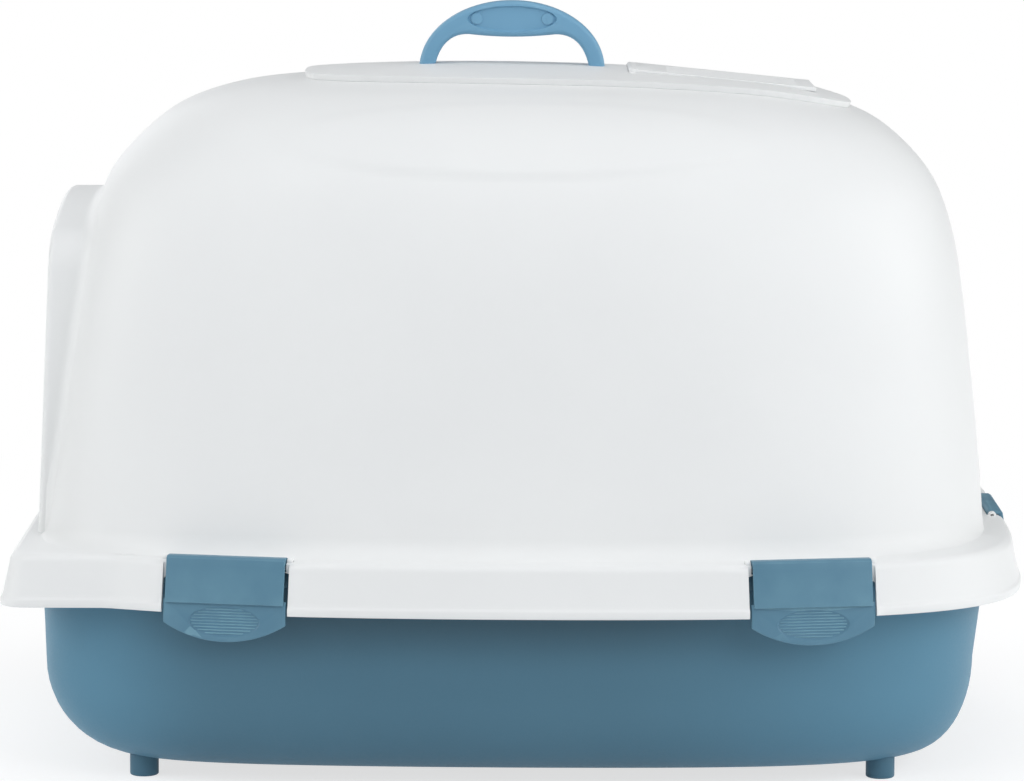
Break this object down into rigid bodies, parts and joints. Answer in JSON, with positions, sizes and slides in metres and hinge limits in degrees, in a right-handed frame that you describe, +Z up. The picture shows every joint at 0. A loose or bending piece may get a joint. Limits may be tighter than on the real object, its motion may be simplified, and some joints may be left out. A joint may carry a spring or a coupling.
{
  "type": "cat litter box with hood",
  "caption": "Large hooded cat litter box: blue tray on peg feet, white domed hood with a porch and swing flap, snap clips, vented filter cover and an arched carrying handle.",
  "frame": {"origin": "on the ground, at the middle of the box's length and width", "axes": "+X towards the rear, -X the entrance; +Y the left side seen from the entrance's rear; +Z up"},
  "size_m": [0.6424, 0.496, 0.4817],
  "materials": {
    "hood_white": "fine-textured matte white",
    "tray_blue": "fine-textured matte slate blue",
    "clip_blue": "satin slate blue",
    "handle_blue": "satin blue",
    "foot_blue": "satin slate blue",
    "basket_white": "satin white",
    "charcoal": "open charcoal foam",
    "flap_clear": "translucent, frosted",
    "pin_steel": "drawn steel"
  },
  "bodies": {
    "tray_body": {"tray": "tray_blue", "tray_foot_near_front": "foot_blue", "tray_foot_far_front": "foot_blue", "tray_foot_near_rear": "foot_blue", "tray_foot_far_rear": "foot_blue"},
    "hood_body": {"hood": "hood_white", "roof_panel": "hood_white", "filter_basket": "basket_white", "charcoal_filter": "charcoal", "handle": "handle_blue", "flap_rod": "pin_steel", "clip_pin_near_front": "pin_steel", "clip_pin_far_front": "pin_steel", "clip_pin_near_rear": "pin_steel", "clip_pin_far_rear": "pin_steel", "clip_pin_rear": "pin_steel"},
    "cover_body": {"filter_cover": "hood_white"},
    "flap_body": {"entry_flap": "flap_clear"},
    "clip_near_front_body": {"clip_near_front": "clip_blue"},
    "clip_far_front_body": {"clip_far_front": "clip_blue"},
    "clip_near_rear_body": {"clip_near_rear": "clip_blue"},
    "clip_far_rear_body": {"clip_far_rear": "clip_blue"},
    "clip_rear_body": {"clip_rear": "clip_blue"}
  },
  "joints": [
    {"name": "hood_lift", "type": "slide", "parent": "tray_body", "child": "hood_body", "axis": [0, 0, 1], "range_m": [0, 0.25]},
    {"name": "flap_swing", "type": "hinge", "parent": "hood_body", "child": "flap_body", "pos_m": [-0.29, 0, 0.325], "axis": [0, 1, 0], "range_deg": [-80, 70]},
    {"name": "filter_cover_hinge", "type": "hinge", "parent": "hood_body", "child": "cover_body", "pos_m": [0.07181, 0, 0.43711], "axis": [0, -1, 0], "range_deg": [0, 95]},
    {"name": "clip_near_front_hinge", "type": "hinge", "parent": "hood_body", "child": "clip_near_front_body", "pos_m": [-0.17881, -0.2208, 0.1499], "axis": [-0.9826, 0.1856, 0], "range_deg": [0, 95]},
    {"name": "clip_far_front_hinge", "type": "hinge", "parent": "hood_body", "child": "clip_far_front_body", "pos_m": [-0.17881, 0.2208, 0.1499], "axis": [0.9826, 0.1856, 0], "range_deg": [0, 95]},
    {"name": "clip_near_rear_hinge", "type": "hinge", "parent": "hood_body", "child": "clip_near_rear_body", "pos_m": [0.17752, -0.225, 0.1499], "axis": [-0.9867, -0.1624, 0], "range_deg": [0, 95]},
    {"name": "clip_far_rear_hinge", "type": "hinge", "parent": "hood_body", "child": "clip_far_rear_body", "pos_m": [0.17752, 0.225, 0.1499], "axis": [0.9867, -0.1624, 0], "range_deg": [0, 95]},
    {"name": "clip_rear_hinge", "type": "hinge", "parent": "hood_body", "child": "clip_rear_body", "pos_m": [0.30785, 0, 0.1499], "axis": [0, -1, 0], "range_deg": [0, 95]}
  ]
}
